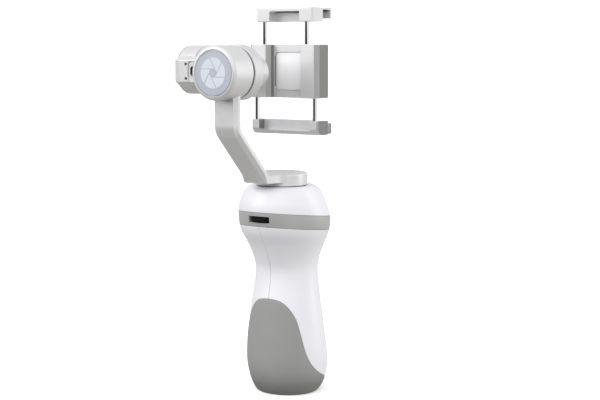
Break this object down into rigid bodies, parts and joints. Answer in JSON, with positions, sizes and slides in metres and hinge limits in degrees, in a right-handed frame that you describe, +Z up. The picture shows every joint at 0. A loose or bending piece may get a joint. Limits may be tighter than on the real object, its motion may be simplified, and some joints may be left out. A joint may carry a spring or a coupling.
{
  "type": "gimbal stabilizer",
  "caption": "Handheld phone gimbal: waisted handle with a thumb dial and rubber grip, cranked motor arms on pan, roll and tilt axes, and a spring clamp with sliding jaws.",
  "frame": {"origin": "foot of the pan axis on the flat base", "axes": "+Z up the handle and along the pan axis, +Y towards the user, -Y towards the rear with the zoom dial and the roll motor"},
  "size_m": [0.1219, 0.1112, 0.2552],
  "materials": {
    "white_plastic": "satin near-white moulding",
    "warm_grey_paint": "satin light warm grey paint on cast aluminium",
    "band_grey": "satin mid grey",
    "grip_rubber": "matt soft-touch grey",
    "black_rubber": "matt black",
    "black_plastic": "satin black",
    "badge_plate": "satin bluish grey",
    "chrome_rod": "polished",
    "steel": "machined",
    "brass": "machined",
    "copper": "enamelled copper wire",
    "circuit_board": "solder mask",
    "cell_wrap": "shrink wrap"
  },
  "bodies": {
    "handle": {"grip_shell_left": "white_plastic", "grip_shell_right": "white_plastic", "grip_pad": "grip_rubber", "base_cap": "grip_rubber", "tripod_insert": "brass", "battery_cell": "cell_wrap", "battery_cradle": "black_plastic", "battery_contact_low": "brass", "battery_contact_high": "brass", "main_board": "circuit_board", "processor": "black_plastic", "top_shoulder": "white_plastic", "control_band": "band_grey", "dial_pin": "steel", "pan_motor_plate": "steel", "pan_windings": "copper", "pan_bearing": "steel", "pan_stator_tube": "steel"},
    "zoom_dial": {"zoom_dial": "black_plastic"},
    "stick_cradle": {"joystick_cradle": "steel"},
    "stick_cap": {"joystick_cap": "black_plastic"},
    "function_button": {"function_button": "white_plastic"},
    "shutter_button": {"shutter_button": "white_plastic"},
    "pan_arm": {"yaw_arm": "warm_grey_paint", "yaw_arm_cover": "warm_grey_paint", "pan_top_cover": "warm_grey_paint", "pan_magnet_ring": "steel", "pan_shaft": "steel", "badge_disc": "badge_plate", "roll_windings": "copper", "roll_bearing": "steel", "roll_stator_tube": "steel"},
    "roll_arm": {"roll_rotor": "warm_grey_paint", "roll_shaft": "steel", "roll_arm": "warm_grey_paint", "roll_arm_cover": "warm_grey_paint", "arm_usb_socket": "steel", "arm_screw_low": "steel", "arm_screw_high": "steel", "tilt_end_cap": "warm_grey_paint", "tilt_windings": "copper", "tilt_bearing": "steel", "tilt_stator_tube": "steel"},
    "tilt_head": {"tilt_rotor": "warm_grey_paint", "tilt_shaft": "steel", "clamp_bracket": "warm_grey_paint", "clamp_body": "warm_grey_paint", "centre_plate": "warm_grey_paint", "back_pad": "black_rubber", "clamp_spring_left": "steel", "clamp_spring_right": "steel"},
    "upper_jaw": {"upper_jaw": "warm_grey_paint", "upper_jaw_pad": "black_rubber", "upper_rod_left": "chrome_rod", "upper_rod_right": "chrome_rod"},
    "lower_jaw": {"lower_jaw": "warm_grey_paint", "lower_jaw_pad": "black_rubber", "lower_rod_left": "chrome_rod", "lower_rod_right": "chrome_rod"}
  },
  "joints": [
    {"name": "pan", "type": "hinge", "parent": "handle", "child": "pan_arm", "pos_m": [0, 0, 0.139], "axis": [0, 0, 1], "continuous": true},
    {"name": "roll", "type": "hinge", "parent": "pan_arm", "child": "roll_arm", "pos_m": [0, -0.0544, 0.2137], "axis": [0, 1, 0], "range_deg": [-40, 220]},
    {"name": "tilt", "type": "hinge", "parent": "roll_arm", "child": "tilt_head", "pos_m": [-0.0754, 0.02, 0.2137], "axis": [1, 0, 0], "range_deg": [-160, 160]},
    {"name": "upper_jaw_slide", "type": "slide", "parent": "tilt_head", "child": "upper_jaw", "axis": [0, 0, 1], "range_m": [-0.0105, 0.003], "deforming": ["clamp_spring_left"]},
    {"name": "lower_jaw_slide", "type": "slide", "parent": "tilt_head", "child": "lower_jaw", "axis": [0, 0, -1], "range_m": [-0.0105, 0.003]},
    {"name": "zoom_turn", "type": "hinge", "parent": "handle", "child": "zoom_dial", "pos_m": [0, -0.0186, 0.1184], "axis": [0, 0, 1], "range_deg": [-20, 20], "stiffness_Nm_per_rad": 0.02},
    {"name": "stick_up_down", "type": "hinge", "parent": "handle", "child": "stick_cradle", "pos_m": [0, 0.0289, 0.112], "axis": [1, 0, 0], "range_deg": [-10, 10], "stiffness_Nm_per_rad": 0.02},
    {"name": "stick_left_right", "type": "hinge", "parent": "stick_cradle", "child": "stick_cap", "pos_m": [0, 0.0289, 0.112], "axis": [0, 0, 1], "range_deg": [-10, 10], "stiffness_Nm_per_rad": 0.02},
    {"name": "function_press", "type": "slide", "parent": "handle", "child": "function_button", "axis": [0, -1, 0], "range_m": [0, 0.001], "stiffness_N_per_m": 300, "springref_m": -0.001},
    {"name": "shutter_press", "type": "slide", "parent": "handle", "child": "shutter_button", "axis": [0, -1, 0], "range_m": [0, 0.001], "stiffness_N_per_m": 300, "springref_m": -0.001}
  ],
  "couplings": [
    {"joint": "lower_jaw_slide", "follows": "upper_jaw_slide", "ratio": 1}
  ]
}
